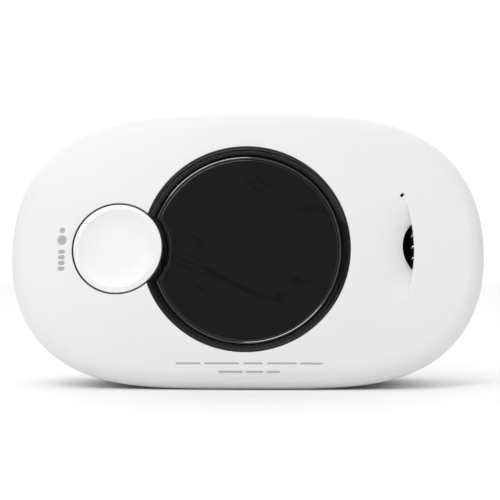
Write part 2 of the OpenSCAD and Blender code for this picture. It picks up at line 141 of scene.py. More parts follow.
def scoop_drop(u, v):
    """How far the scoop lies below the crown; its deep end stops at the curved edge."""
    du, dv = u - SCOOP[0], v - SCOOP[1]
    inside = SCOOP_R - math.hypot(du, dv)
    along = dv / (SCOOP_TOP if dv > 0 else SCOOP_BOTTOM)
    if abs(along) >= 1 or inside >= SCOOP_REACH or inside <= -SCOOP_RIM or du < 0:
        return 0.0
    depth = SCOOP_DEPTH * (1 - along * along) ** 1.5
    if inside >= 0:
        return depth * (1 - inside / SCOOP_REACH) ** 1.7
    out = -inside
    if out < SCOOP_WALL:
        return depth * (1 - 0.92 * out / SCOOP_WALL)
    return depth * 0.08 * (1 - (out - SCOOP_WALL) / (SCOOP_RIM - SCOOP_WALL)) ** 2


def face_w(u, v):
    return crown(u, v) - scoop_drop(u, v)


def on_crown(drop):
    """Height function of a ring that lies that far below the crown."""
    return lambda u, v: crown(u, v) - drop


def at_w(w):
    """Height function of a level ring."""
    return lambda u, v: w


def on_side(share):
    """Height function of a ring on the cover's side, at a share of the way to the parting plane."""
    return lambda u, v: (crown(u, v) - EDGE_R) * (1 - share)


def circle(cx, cy, radius, count=48):
    turns = [2 * math.pi * k / count for k in range(count)]
    return [(cx + radius * math.cos(turn), cy + radius * math.sin(turn)) for turn in turns]


def arc(centre, radius, start, end, count):
    """Points from start to end angle (radians), both included."""
    return [(centre[0] + radius * math.cos(start + (end - start) * k / count),
             centre[1] + radius * math.sin(start + (end - start) * k / count))
            for k in range(count + 1)]


def rounded_rect(x0, z0, x1, z1, radius, cuts=6):
    corners = ((x1 - radius, z1 - radius, 0), (x0 + radius, z1 - radius, 90),
               (x0 + radius, z0 + radius, 180), (x1 - radius, z0 + radius, 270))
    return [(cx + radius * math.cos(math.radians(start + 90 * k / cuts)),
             cz + radius * math.sin(math.radians(start + 90 * k / cuts)))
            for cx, cz, start in corners for k in range(cuts + 1)]


def meeting_angles(ra, rb):
    """Half-angles at which the window's circle of radius ra and the button's of radius rb meet."""
    dx, dy = WINDOW[0] - BUTTON[0], WINDOW[1] - BUTTON[1]
    dist = math.hypot(dx, dy)
    tilt = math.atan2(dy, dx)
    at_window = math.acos((dist * dist + ra * ra - rb * rb) / (2 * dist * ra))
    at_button = math.acos((dist * dist + rb * rb - ra * ra) / (2 * dist * rb))
    return tilt, at_window, at_button


def union_loop(grow, big=220, small=120):
    """Outline of the window hole and the button hole together, both grown by the same amount."""
    ra, rb = WINDOW_R + grow, HOLE_R + grow
    tilt, aw, ab = meeting_angles(ra, rb)
    left = tilt + math.pi
    window = arc(WINDOW, ra, left + aw, left + 2 * math.pi - aw, big)
    button = arc(BUTTON, rb, tilt + ab, tilt + 2 * math.pi - ab, small)
    return window + button[1:-1]


def notched_loop(shrink, big=220, small=64):
    """Outline of the window with the button's notch. The notch's collar is narrower than the bezel."""
    ra, rb = WINDOW_R - 0.1 - shrink, SLEEVE_IN + max(shrink, 0) * NOTCH_SHARE
    tilt, aw, ab = meeting_angles(ra, rb)
    left = tilt + math.pi
    window = arc(WINDOW, ra, left + aw, left + 2 * math.pi - aw, big)
    notch = arc(BUTTON, rb, tilt + ab, tilt - ab, small)
    return window + notch[1:-1]


# ---------------------------------------------------------------- mesh building

class Builder:
    """Collects faces by point, welding points that coincide, and makes one object of them."""

    def __init__(self):
        self.points, self.faces, self.index = [], [], {}

    def add(self, p):
        key = (round(p[0], 4), round(p[1], 4), round(p[2], 4))
        if key not in self.index:
            self.index[key] = len(self.points)
            self.points.append(p)
        return self.index[key]

    def face(self, corners):
        ids = [self.add(p) for p in corners]
        ids = [i for k, i in enumerate(ids) if i != ids[k - 1]]
        if len(set(ids)) >= 3:
            self.faces.append(ids)

    def strip(self, ring_a, ring_b, closed=True):
        """Quads between two rings of equal count."""
        count = len(ring_a)
        for i in range(count if closed else count - 1):
            j = (i + 1) % count
            self.face([ring_a[i], ring_a[j], ring_b[j], ring_b[i]])

    def rings(self, rings, closed_section=False):
        for a, b in zip(rings, rings[1:]):
            self.strip(a, b)
        if closed_section:
            self.strip(rings[-1], rings[0])

    def fan(self, ring):
        self.faces.append([self.add(p) for p in ring])

    def capped(self, rings):
        """Skin over a run of rings, closed at both ends."""
        self.rings(rings)
        self.fan(rings[0])
        self.fan(rings[-1])

    def make(self, name, to_frame, sharp=30):
        mesh = bpy.data.meshes.new(name)
        mesh.from_pydata([to_frame(*p) for p in self.points], [], self.faces)
        return finish_mesh(name, mesh, sharp)


def finish_mesh(name, mesh, sharp=30):
    """Welds a mesh's close points, makes its normals point outward, and smooths all but sharp edges."""
    bm = bmesh.new()
    bm.from_mesh(mesh)
    bmesh.ops.remove_doubles(bm, verts=bm.verts, dist=2e-7)
    bmesh.ops.recalc_face_normals(bm, faces=bm.faces)
    bm.to_mesh(mesh)
    bm.free()
    mesh.shade_smooth()
    mesh.set_sharp_from_angle(angle=math.radians(sharp))
    obj = bpy.data.objects.new(name, mesh)
    bpy.context.scene.collection.objects.link(obj)
    return obj


def fill_between(loops, extra_points, keep):
    """Triangles over the plane, with each loop's edges kept. keep(u, v) says which triangles stay."""
    coords, edges = [], []
    for loop, closed in loops:
        start = len(coords)
        coords += [Vector(p) for p in loop]
        last = len(loop) if closed else len(loop) - 1
        edges += [(start + i, start + (i + 1) % len(loop)) for i in range(last)]
    coords += [Vector(p) for p in extra_points]
    out = delaunay_2d_cdt(coords, edges, [], 0, 1e-6)
    verts, faces = out[0], out[2]
    kept = []
    for f in faces:
        cu = sum(verts[i].x for i in f) / len(f)
        cv = sum(verts[i].y for i in f) / len(f)
        if keep(cu, cv):
            kept.append([(verts[i].x, verts[i].y) for i in f])
    return kept


# ---------------------------------------------------------------- front cover

RING = 480
HOLE_FILLET = 0.12
COARSE, FINE = 1.5, 0.42
FINE_LEFT, FINE_RIGHT, FINE_HALF = 27.0, 44.0, 15.0


def in_oval(u, v, a, b):
    return (abs(u) / a) ** ROUND_U + (abs(v) / b) ** ROUND_V < 1


def hole_distance(u, v):
    """Distance outside the joined window and button holes; negative inside them."""
    return min(math.hypot(u - WINDOW[0], v - WINDOW[1]) - WINDOW_R,
               math.hypot(u - BUTTON[0], v - BUTTON[1]) - HOLE_R)


def port_angles():
    """Tilt of the line from the scoop's centre to the port's, and where their circles meet on it."""
    du, dv = PORT[0] - SCOOP[0], PORT[1] - SCOOP[1]
    dist = math.hypot(du, dv)
    at_scoop = math.acos((dist ** 2 + SCOOP_R ** 2 - PORT_R ** 2) / (2 * dist * SCOOP_R))
    at_port = math.acos((dist ** 2 + PORT_R ** 2 - SCOOP_R ** 2) / (2 * dist * PORT_R))
    return math.atan2(dv, du), at_scoop, at_port


def in_port(u, v):
    return (math.hypot(u - PORT[0], v - PORT[1]) < PORT_R
            and math.hypot(u - SCOOP[0], v - SCOOP[1]) < SCOOP_R)


def face_grid():
    """Inner points of the face: coarse over the crown, fine in and near the scoop."""
    points = []
    for i in range(-38, 39):
        for j in range(-23, 24):
            u, v = i * COARSE, (j + 0.5 * (i % 2)) * COARSE
            clear = hole_distance(u, v) > 0.9 and in_oval(u, v, HALF_W - EDGE_R - 1, HALF_H - EDGE_R - 1)
            near_scoop = FINE_LEFT < u < FINE_RIGHT and abs(v - SCOOP[1]) < FINE_HALF
            if clear and not near_scoop:
                points.append((u, v))
    for i in range(41):
        for j in range(-36, 37):
            u, v = FINE_LEFT + 0.2 + i * FINE, SCOOP[1] + (j + 0.5 * (i % 2)) * FINE
            inside = SCOOP_R - math.hypot(u - SCOOP[0], v - SCOOP[1])
            off_edge = inside > 0.2 or inside < -0.7
            off_port = abs(math.hypot(u - PORT[0], v - PORT[1]) - PORT_R) > 0.15
            if off_edge and off_port and hole_distance(u, v) > 0.6 and abs(v - SCOOP[1]) < FINE_HALF:
                points.append((u, v))
    return points


def scoop_loops():
    """Arcs along the scoop's edge, foot to rim, the port's free edge, and the pinhole."""
    low, high = -math.asin(SCOOP_BOTTOM / SCOOP_R), math.asin((SCOOP_TOP - 0.5) / SCOOP_R)
    tilt, at_scoop, at_port = port_angles()
    loops = []
    for out in (0.0, 0.027, 0.053, SCOOP_WALL, 0.12, 0.17, 0.23, SCOOP_RIM):
        loops.append((arc(SCOOP, SCOOP_R + out, low, high, 130), False))
    loops[0] = (arc(SCOOP, SCOOP_R, low, tilt - at_scoop, 40)[:-1]
                + arc(SCOOP, SCOOP_R, tilt - at_scoop, tilt + at_scoop, 56)
                + arc(SCOOP, SCOOP_R, tilt + at_scoop, high, 40)[1:], False)
    left = tilt + math.pi
    loops.append((arc(PORT, PORT_R, left - at_port, left + at_port, 60)[::-1], False))
    loops.append((pinhole_loop(), True))
    return loops


def pinhole_loop():
    turn = math.radians(PINHOLE_TURN)
    rect = rounded_rect(-PINHOLE_L / 2, -PINHOLE_D / 2, PINHOLE_L / 2, PINHOLE_D / 2, 0.12, 3)
    return [(PINHOLE[0] + a * math.cos(turn) - b * math.sin(turn),
             PINHOLE[1] + a * math.sin(turn) + b * math.cos(turn)) for a, b in rect]


def in_pinhole(u, v):
    turn = math.radians(PINHOLE_TURN)
    du, dv = u - PINHOLE[0], v - PINHOLE[1]
    a, b = du * math.cos(turn) + dv * math.sin(turn), dv * math.cos(turn) - du * math.sin(turn)
    return abs(a) < PINHOLE_L / 2 and abs(b) < PINHOLE_D / 2


def build_front_cover():
    shell = Builder()
    rim = oval(HALF_W - EDGE_R, HALF_H - EDGE_R, RING)
    hole = union_loop(HOLE_FILLET)

    def keep(u, v):
        solid = hole_distance(u, v) > HOLE_FILLET * 0.999
        return solid and not in_port(u, v) and not in_pinhole(u, v)

    for t in fill_between([(rim, True), (hole, True)] + scoop_loops(), face_grid(), keep):
        shell.face([(u, v, face_w(u, v)) for u, v in t])
        shell.face([(u, v, face_w(u, v) - COVER_T) for u, v in reversed(t)])
    add_cover_side(shell, rim)
    add_hole_lip(shell)
    add_port_walls(shell)
    for step in (-1, 0, 1):
        add_port_rib(shell, RIB_V + step * RIB_PITCH)
    add_bosses(shell)
    return shell.make("cover_shell", face_point)


def cover_ring(inset, height):
    """Ring of the cover's side. height(u, v) gives w."""
    return [(u, v, height(u, v)) for u, v in oval(HALF_W - inset, HALF_H - inset, RING)]


def add_cover_side(shell, rim):
    """Rounded outer edge, then the side down to the parting plane, and the same inside."""
    outside = [[(u, v, crown(u, v)) for u, v in rim]]
    inside = [[(u, v, crown(u, v) - COVER_T) for u, v in rim]]
    for turn in range(84, -1, -6):
        c, s = math.cos(math.radians(turn)), math.sin(math.radians(turn))
        outside.append(cover_ring(EDGE_R * (1 - c), on_crown(EDGE_R * (1 - s))))
        inside.append(cover_ring(EDGE_R * (1 - c) + COVER_T * c, on_crown(EDGE_R * (1 - s) + COVER_T * s)))
    for share in (0.25, 0.5, 0.75, 0.9, 0.97):
        outside.append(cover_ring(SIDE_DRAFT * share, on_side(share)))
    for inset, w in ((0.03, 0.12), (0.1, 0.04), (0.22, 0.0)):
        outside.append(cover_ring(SIDE_DRAFT + inset, at_w(w)))
    inside.append(cover_ring(SIDE_DRAFT + COVER_T, at_w(0.0)))
    shell.rings(outside)
    shell.rings(inside)
    shell.strip(outside[-1], inside[-1])


def add_hole_lip(shell):
    """Rounded lip and wall of the joined window and button holes."""
    lip = []
    for turn in (90, 68, 46, 24, 0):
        c, s = math.cos(math.radians(turn)), math.sin(math.radians(turn))
        grow = HOLE_FILLET * (1 - c)
        lip.append([(u, v, crown(u, v) - HOLE_FILLET * (1 - s)) for u, v in union_loop(grow)])
    for grow in (0.0, HOLE_FILLET):
        lip.append([(u, v, crown(u, v) - COVER_T) for u, v in union_loop(grow)])
    shell.rings(lip[::-1])


def add_port_walls(shell):
    """Walls of the crescent sound port and the pinhole."""
    tilt, at_scoop, at_port = port_angles()
    free = arc(PORT, PORT_R, tilt + math.pi - at_port, tilt + math.pi + at_port, 60)
    edge = arc(SCOOP, SCOOP_R, tilt - at_scoop, tilt + at_scoop, 56)
    for loop in (free + edge[1:-1], pinhole_loop()):
        shell.rings([[(u, v, face_w(u, v)) for u, v in loop],
                     [(u, v, face_w(u, v) - COVER_T) for u, v in loop]])


def add_port_rib(shell, v):
    """Short rounded rib on the scoop's edge wall, across the foot of the sound port."""
    edge = SCOOP[0] + SCOOP_R
    top = crown(edge, v) - 0.5
    foot = top - RIB_HEIGHT
    rings = []
    for u, half, drop in ((edge - 0.36, 0.07, 0.08), (edge - 0.33, 0.12, 0.02), (edge - 0.27, 0.14, 0.0),
                          (edge + 0.3, 0.14, 0.0)):
        rings.append([(u, v - half, foot), (u, v + half, foot), (u, v + half, top - drop),
                      (u, v - half, top - drop)])
    shell.capped(rings)


def add_boss(shell, centre, sizes):
    """Boss with a blind hole, up into the cover's wall. Sizes: outer and inner radius, foot, hole depth."""
    outer, inner, low, depth = sizes
    into_wall = COVER_T - 0.5

    def ring(radius, w=None):
        return [(u, v, crown(u, v) - into_wall if w is None else w) for u, v in circle(*centre, radius, 64)]

    shell.capped([ring(outer), ring(outer, low + 0.25), ring(outer - 0.25, low), ring(inner + 0.15, low),
                  ring(inner, low + 0.15), ring(inner, low + depth)])


def add_bosses(shell):
    """Bosses that the case screws and the board screws cut into."""
    for side in (-1, 1):
        for end in (-1, 1):
            add_boss(shell, (side * CASE_U, end * CASE_V), CASE_BOSS)
            add_boss(shell, (side * BOARD_SCREW_U, end * BOARD_SCREW_V), BOARD_BOSS)


# ---------------------------------------------------------------- window bezel and window

# Sections of the bezel and the glass: inset from the window's outline, height over the bezel's rim
BEZEL_PROFILE = (
    (-1.9, -2.9), (0.0, -2.9), (0.0, -0.3), (0.02, -0.09), (0.05, -0.04), (0.08, -0.021), (0.1, -0.02),
    (0.32, -0.02), (0.34, -0.021), (0.39, -0.05), (0.44, -0.12), (1.6, -1.41), (1.72, -1.75), (1.84, -2.25),
    (1.98, -2.4), (2.08, -2.3), (2.12, -2.12), (2.15, -2.04), (2.17, -2.0207), (2.19, -2.0166),
    (2.35, -1.9841), (2.37, -1.98), (2.4, -1.977), (2.43, -1.982), (2.45, -1.9882), (2.6, -2.0346),
    (2.62, -2.0408), (2.66, -2.1), (2.69, -2.22), (2.69, -3.7), (3.3, -3.7), (3.3, -3.9), (-1.9, -3.9))
GLASS_PROFILE = ((2.72, -3.7), (2.72, -2.5), (2.73, -2.4), (2.77, -2.31), (2.84, -2.25), (2.94, -2.21),
                 (3.08, -2.2))
GLASS_CROWN_R = 900.0
BEZEL_FOOT = 3.9
BUTTON_RING = 168


def button_ring(radius, height):
    """Ring round the button's axis. height(u, v) gives w."""
    return [(u, v, height(u, v)) for u, v in circle(*BUTTON, radius, BUTTON_RING)]


def build_bezel():
    """Ring round the window, and the thin sleeve round the button."""
    ring = Builder()
    rings = [[(u, v, RIM_W + drop) for u, v in notched_loop(inset)] for inset, drop in BEZEL_PROFILE]
    ring.rings(rings, closed_section=True)
    middle = (SLEEVE_IN + SLEEVE_OUT) / 2
    foot = at_w(RIM_W - BEZEL_FOOT)
    sleeve = [button_ring(SLEEVE_IN, foot), button_ring(SLEEVE_OUT, foot)]
    for radius, drop in ((SLEEVE_OUT, 0.12), (SLEEVE_OUT - 0.03, 0.07), (middle, 0.05),
                         (SLEEVE_IN + 0.03, 0.07), (SLEEVE_IN, 0.12)):
        sleeve.append(button_ring(radius, on_crown(drop)))
    ring.rings(sleeve, closed_section=True)
    return ring.make("bezel_ring", face_point, sharp=35)


def glass_bulge(u, v):
    """Slight crown of the window, highest in its middle and zero at its edge."""
    inside = WINDOW_R ** 2 - (u - WINDOW[0]) ** 2 - (v - WINDOW[1]) ** 2
    return max(inside, 0.0) / (2 * GLASS_CROWN_R)


def build_glass():
    glass = Builder()
    rings = [[(u, v, RIM_W + drop + glass_bulge(u, v)) for u, v in notched_loop(inset)]
             for inset, drop in GLASS_PROFILE]
    glass.rings(rings)
    top_inset, top_drop = GLASS_PROFILE[-1]
    base_inset, base_drop = GLASS_PROFILE[0]
    step = 1.6
    grid = [(i * step, (j + 0.5 * (i % 2)) * step) for i in range(-16, 17) for j in range(-17, 18)]

    def inside(u, v, margin):
        in_window = math.hypot(u - WINDOW[0], v - WINDOW[1]) < WINDOW_R - 0.1 - margin
        at_notch = SLEEVE_IN + margin * NOTCH_SHARE
        return in_window and math.hypot(u - BUTTON[0], v - BUTTON[1]) > at_notch

    for inset, drop in ((top_inset, top_drop), (base_inset, base_drop)):
        points = [p for p in grid if inside(*p, inset + 0.7)]
        for t in fill_between([(notched_loop(inset), True)], points, lambda u, v: inside(u, v, inset)):
            glass.face([(u, v, RIM_W + drop + glass_bulge(u, v)) for u, v in t])
    return glass.make("window_glass", face_point, sharp=35)


# ---------------------------------------------------------------- test button

def build_button():
    cap = Builder()
    dish_r, dish_depth, dish_power, dish_skew = 9.7, 1.1, 4.4, 0.45

    def dish_w(u, v):
        """Floor of the dish: its upper edge is steep, its lower edge fades out."""
        share = min(math.hypot(u - BUTTON[0], v - BUTTON[1]) / dish_r, 1.0)
        skewed = 1 + dish_skew * (v - BUTTON[1]) / dish_r
        return crown(u, v) - dish_depth * (1 - share ** dish_power) * skewed

    rings = [button_ring(dish_r * math.sin(math.pi / 2 * k / 24), dish_w) for k in range(1, 25)]
    rings.append(button_ring(dish_r + 0.05, on_crown(0.0)))
    rings.append(button_ring(dish_r + 0.1, on_crown(0.0)))
    edge = 0.22
    for turn in range(80, -1, -16):
        c, s = math.cos(math.radians(turn)), math.sin(math.radians(turn))
        rings.append(button_ring(BUTTON_R - edge * (1 - c), on_crown(edge * (1 - s))))
    flange_w, flange_t, flange_r = 9.2, 1.0, BUTTON_R + 1.2
    stem_r, stem_w, hollow_r, hollow_w = 2.2, 8.05, 9.65, 11.2
    for radius, w in ((BUTTON_R, 12.0), (BUTTON_R, flange_w + flange_t + 0.2),
                      (BUTTON_R + 0.2, flange_w + flange_t), (flange_r - 0.1, flange_w + flange_t),
                      (flange_r, flange_w + flange_t - 0.1), (flange_r, flange_w + 0.1),
                      (flange_r - 0.1, flange_w), (hollow_r + 0.1, flange_w), (hollow_r, flange_w + 0.1),
                      (hollow_r, hollow_w), (stem_r + 0.3, hollow_w), (stem_r, hollow_w - 0.3),
                      (stem_r, stem_w + 0.15), (stem_r - 0.15, stem_w)):
        rings.append(button_ring(radius, at_w(w)))
    cap.capped(rings)
    return cap.make("button_cap", face_point, sharp=40)


# ---------------------------------------------------------------- rear shell

REAR_RING = 320
DIP_SHARE = 0.12


def rear_ring(share, inset):
    """Ring of the rear shell at a share of the way back, in body millimetres, flat where it would dip."""
    cos_lean = math.cos(LEAN)
    middle = FACE_ORIGIN.z
    foot_low = middle - (HALF_H - REAR_STEP) * cos_lean
    dip = min(share / DIP_SHARE, 1)
    low = foot_low * (1 - dip) - BASE_DIP * dip
    top = middle + (HALF_H - REAR_STEP) * cos_lean - REAR_DROP * share
    tilt = LEAN * (1 - share)
    a = HALF_W - REAR_STEP - REAR_TAPER * share - inset
    b = (top - low) / 2 / math.cos(tilt) - inset
    y = FACE_ORIGIN.y + (BACK_Y - REAR_CORNER - FACE_ORIGIN.y) * share
    ring = []
    for u, v in oval(a, b, REAR_RING):
        ring.append((u, y + v * math.sin(tilt), max((top + low) / 2 + v * math.cos(tilt), inset)))
    return ring


def back_ring(turn, inset):
    r = REAR_CORNER - inset
    cut = r * (1 - math.cos(turn))
    return [(x, BACK_Y - REAR_CORNER + r * math.sin(turn), z) for x, _, z in rear_ring(1, inset + cut)]


def body_point(x, y, z):
    return Vector((x, y, z)) * MM


def prism(name, outline, low, high, to_frame=body_point):
    """Closed prism of an (x, z) outline between two y values, or as to_frame() maps it."""
    solid = Builder()
    near, far = [(x, low, z) for x, z in outline], [(x, high, z) for x, z in outline]
    solid.strip(near, far)
    solid.fan(near)
    solid.fan(far)
    return solid.make(name, to_frame)


def along_x(x, y, z):
    """Prism placement for bars along x: outline (y, z) and the run x."""
    return body_point(y, x, z)


def apply_modifiers(target):
    depsgraph = bpy.context.evaluated_depsgraph_get()
    mesh = bpy.data.meshes.new_from_object(target.evaluated_get(depsgraph))
    target.modifiers.clear()
    target.data = mesh


def boolean(target, cutter, operation):
    modifier = target.modifiers.new("boolean", "BOOLEAN")
    modifier.operation, modifier.solver, modifier.object = operation, "EXACT", cutter
    apply_modifiers(target)
    bpy.data.objects.remove(cutter)


def bevel(target, width, angle=50, segments=2):
    modifier = target.modifiers.new("bevel", "BEVEL")
    modifier.width, modifier.segments = width * MM, segments
    modifier.limit_method, modifier.angle_limit = "ANGLE", math.radians(angle)
    apply_modifiers(target)
    target.data.shade_smooth()
    target.data.set_sharp_from_angle(angle=math.radians(30))


DOOR_HALF = box_mm("battery_door")[1].x - 1.6
DOOR_TOP = box_mm("battery_door")[1].z
DOOR_T = 1.85
HINGE_R = 1.6
HINGE = (BACK_Y - HINGE_R, DOOR_TOP - 45.7)
BAY_HALF, BAY_LOW, BAY_HIGH, BAY_FRONT = 28.2, 5.6, 51.4, 3.1
BAY_WALL = 1.2
HINGE_BLOCK_X, HINGE_BLOCK_HALF, HINGE_PIN_L = 30.2, 2.2, 1.6
PIN_R, SOCKET_R = 1.0, 1.05
POST_R, WELL_R, WELL_W, BORE_R = 4.8, 3.4, -8.0, 1.6
FAR_BACK = -40.0
VENT_LOW, VENT_PITCH, VENT_W, VENT_HALF = 16.0, 3.4, 1.5, 5.0
KEYHOLE_X, KEYHOLE_Z, KEYHOLE_R, SLOT_W, SLOT_L = 38.0, 31.0, 4.0, 4.2, 7.0


def keyhole_outline(x):
    """Round entry with a narrower slot above it."""
    lean_in = math.asin(SLOT_W / 2 / KEYHOLE_R)
    entry = arc((x, KEYHOLE_Z), KEYHOLE_R, math.pi / 2 + lean_in, 2.5 * math.pi - lean_in, 44)
    tip = arc((x, KEYHOLE_Z + SLOT_L), SLOT_W / 2, 0, math.pi, 20)
    return entry + tip


def build_rear_shell():
    outer, inner = rear_rings(0), rear_rings(WALL)
    cup = Builder()
    cup.capped(inner[::-1] + outer)
    shell = cup.make("rear_shell", body_point)
    boolean(shell, build_rear_inside(), "UNION")
    boolean(shell, build_lip(), "UNION")

    def cut(name, outline, low, high, to_frame=body_point):
        boolean(shell, prism(name, outline, low, high, to_frame), "DIFFERENCE")

    through = (BACK_Y - WALL - 1, BACK_Y + 1)
    cut("bay", rounded_rect(-BAY_HALF, BAY_LOW, BAY_HALF, BAY_HIGH, 0.6), BAY_FRONT, BACK_Y + 1)
    edge = DOOR_HALF + 0.3
    cut("opening", rounded_rect(-edge, HINGE[1], edge, DOOR_TOP + 0.3, 0.8), *through)
    reach = HINGE_R + 0.2
    channel = arc(HINGE, reach, math.pi / 2, 1.5 * math.pi, 18)
    channel += [(BACK_Y + 1, HINGE[1] - reach), (BACK_Y + 1, HINGE[1] + reach)]
    cut("channel", channel, -edge, edge, along_x)
    cut("socket", circle(*HINGE, SOCKET_R), -edge - HINGE_PIN_L, edge + HINGE_PIN_L, along_x)
    for side in (-1, 1):
        cut("keyhole", keyhole_outline(side * KEYHOLE_X), *through)
        for step in range(3):
            low, middle = VENT_LOW + step * VENT_PITCH, side * CASE_U
            slot = rounded_rect(middle - VENT_HALF, low, middle + VENT_HALF, low + VENT_W, 0.7)
            cut("vent", slot, *through)
        for end in (-1, 1):
            at_place = at_screw(side * CASE_U, end * CASE_V)
            cut("well", circle(0, 0, WELL_R, 64), FAR_BACK, WELL_W, at_place)
            cut("bore", circle(0, 0, BORE_R), WELL_W - 1, 3, at_place)
    bevel(shell, 0.2)
    return shell


def rear_rings(inset):
    """All rings of the rear shell from the parting plane to the rounded back."""
    shares = (0, 0.03, 0.06, 0.09, 0.12, 0.2, 0.3, 0.4, 0.55, 0.7, 0.85)
    return [rear_ring(s, inset) for s in shares] + [back_ring(math.pi / 2 * k / 8, inset) for k in range(9)]


def build_rear_inside():
    """Walls of the cell bay, hinge blocks and screw posts, trimmed to the inside of the shell."""
    half = BAY_HALF + BAY_WALL
    walls = rounded_rect(-half, BAY_LOW - BAY_WALL, half, BAY_HIGH + BAY_WALL, 1.0)
    inside = prism("inside", walls, BAY_FRONT - 0.8, BACK_Y)
    for side in (-1, 1):
        middle = side * HINGE_BLOCK_X
        block = rounded_rect(middle - BAY_WALL, HINGE[1] - HINGE_BLOCK_HALF,
                             middle + BAY_WALL, HINGE[1] + HINGE_BLOCK_HALF, 0.3)
        boolean(inside, prism("hinge_block", block, HINGE[0] - HINGE_BLOCK_HALF, BACK_Y), "UNION")
        for end in (-1, 1):
            at_place = at_screw(side * CASE_U, end * CASE_V)
            boolean(inside, prism("post", circle(0, 0, POST_R, 64), FAR_BACK, -0.05, at_place), "UNION")
    core = Builder()
    core.capped(rear_rings(1))
    boolean(inside, core.make("core", body_point), "INTERSECT")
    return inside


def at_screw(u, v):
    """Prism placement along a screw of the face frame: outline (a, b) round (u, v) and the run w."""
    return lambda a, w, b: face_point(u + a, v + b, w)


def build_lip():
    """Lip that locates the front cover inside its side wall."""
    lip = Builder()
    outer, inner = SIDE_DRAFT + WALL + 0.2, SIDE_DRAFT + WALL + 1.4
    section = ((outer, -1.5), (outer, 1.3), (outer + 0.2, 1.5),
               (inner - 0.2, 1.5), (inner, 1.3), (inner, -1.5))
    lip.rings([[(u, v, w) for u, v in oval(HALF_W - inset, HALF_H - inset, REAR_RING)]
               for inset, w in section], closed_section=True)
    return lip.make("lip", face_point)


# ---------------------------------------------------------------- battery door

def build_door():
    plate = rounded_rect(-DOOR_HALF, HINGE[1], DOOR_HALF, DOOR_TOP, 0.7)
    door = prism("door_panel", plate, BACK_Y - DOOR_T, BACK_Y)
    boolean(door, prism("barrel", circle(*HINGE, HINGE_R, 56), -DOOR_HALF, DOOR_HALF, along_x), "UNION")
    pins = DOOR_HALF + HINGE_PIN_L
    boolean(door, prism("pins", circle(*HINGE, PIN_R, 40), -pins, pins, along_x), "UNION")
    notch = circle(BACK_Y + 2.4, DOOR_TOP - 4, 3.4, 72)
    boolean(door, prism("finger_notch", notch, -8, 8, along_x), "DIFFERENCE")
    low, high = box_mm("rating_label")
    recess = rounded_rect(low.x - 0.2, low.z - 0.2, high.x + 0.2, high.z + 0.2, 0.8)
    boolean(door, prism("recess", recess, low.y, BACK_Y + 1), "DIFFERENCE")
    for side in (-1, 1):
        for k in range(4):
            x = side * (11 + 2.2 * k)
            groove = rounded_rect(x - 0.45, DOOR_TOP - 7, x + 0.45, DOOR_TOP - 1.6, 0.44)
            boolean(door, prism("grip_groove", groove, BACK_Y - 0.4, BACK_Y + 1), "DIFFERENCE")
    bevel(door, 0.15)
    return door


# ---------------------------------------------------------------- small parts

CELL_L, CELL_Y, CELL_Z, CELL_PITCH = 50.4, 10.6, 13.5, 15.0
CONTACT_X = 27.8
SCREEN_R, SCREEN_PITCH, SCREEN_WIRE = 9.4, 0.62, 0.11


def build_springs():
    """Conical coils of round wire, one for each cell."""
    wire, turns, steps, sides = 0.4, 3, 40, 12
    wide, narrow = 5.0, 2.8
    length = 2 * CONTACT_X - CELL_L
    coil = Builder()
    for number in range(3):
        way = 1 if number == 1 else -1
        base = Vector((way * CONTACT_X, CELL_Y, CELL_Z + CELL_PITCH * number))
        rings = []
        for k in range(turns * steps + 1):
            share = k / (turns * steps)
            angle = 2 * math.pi * k / steps
            radius, along = wide + (narrow - wide) * share, wire + (length - 2 * wire) * share
            ring = []
            for i in range(sides):
                turn = 2 * math.pi * i / sides
                r = radius + wire * math.cos(turn)
                x, y, z = -way * (along + wire * math.sin(turn)), r * math.cos(angle), r * math.sin(angle)
                ring.append(tuple(base + Vector((x, y, z))))
            rings.append(ring)
        coil.capped(rings)
    return coil.make("cell_springs", body_point, sharp=60)


def build_port_mesh():
    """Woven wire screen behind the sound port, with a black cloth behind it and a black liner round it, a sheet of
    painted shade over the port's white edge wall.
    """
    low, high = box_mm("insect_mesh")
    offset = (low + high) / 2 - FACE_ORIGIN
    centre, height = (offset.dot(RIGHT), offset.dot(UP)), offset.dot(NORMAL)
    screen = Builder()
    count = int(SCREEN_R / SCREEN_PITCH)
    for across in (0, 1):
        for n in range(-count, count + 1):
            if math.sqrt(SCREEN_R ** 2 - (n * SCREEN_PITCH) ** 2) >= SCREEN_PITCH:
                add_screen_wire(screen, centre, height, across, n)
    # Black liner: a sheet of painted shade on the port's white edge wall.
    add_port_shade_liner(screen, height)
    screen.capped([[(u, v, height - depth) for u, v in circle(*centre, SCREEN_R, 72)]
                   for depth in (0.14, 0.22)])
    return screen.make("port_screen", face_point, sharp=60)


def add_screen_wire(screen, centre, height, across, n):
    """One wire of the weave, waving over and under the wires that cross it."""
    shift, sides = n * SCREEN_PITCH, 6
    half = math.sqrt(SCREEN_R ** 2 - shift ** 2)
    steps = max(int(4 * half / SCREEN_PITCH), 4)
    rings = []
    for k in range(steps + 1):
        t = -half + 2 * half * k / steps
        lift = 0.06 * math.cos(math.pi * (t / SCREEN_PITCH + n + across))
        ring = []
        for a, b in circle(shift, height + lift, SCREEN_WIRE, sides):
            ring.append((centre[0] + (t if across else a), centre[1] + (a if across else t), b))
        rings.append(ring)
    screen.capped(rings)


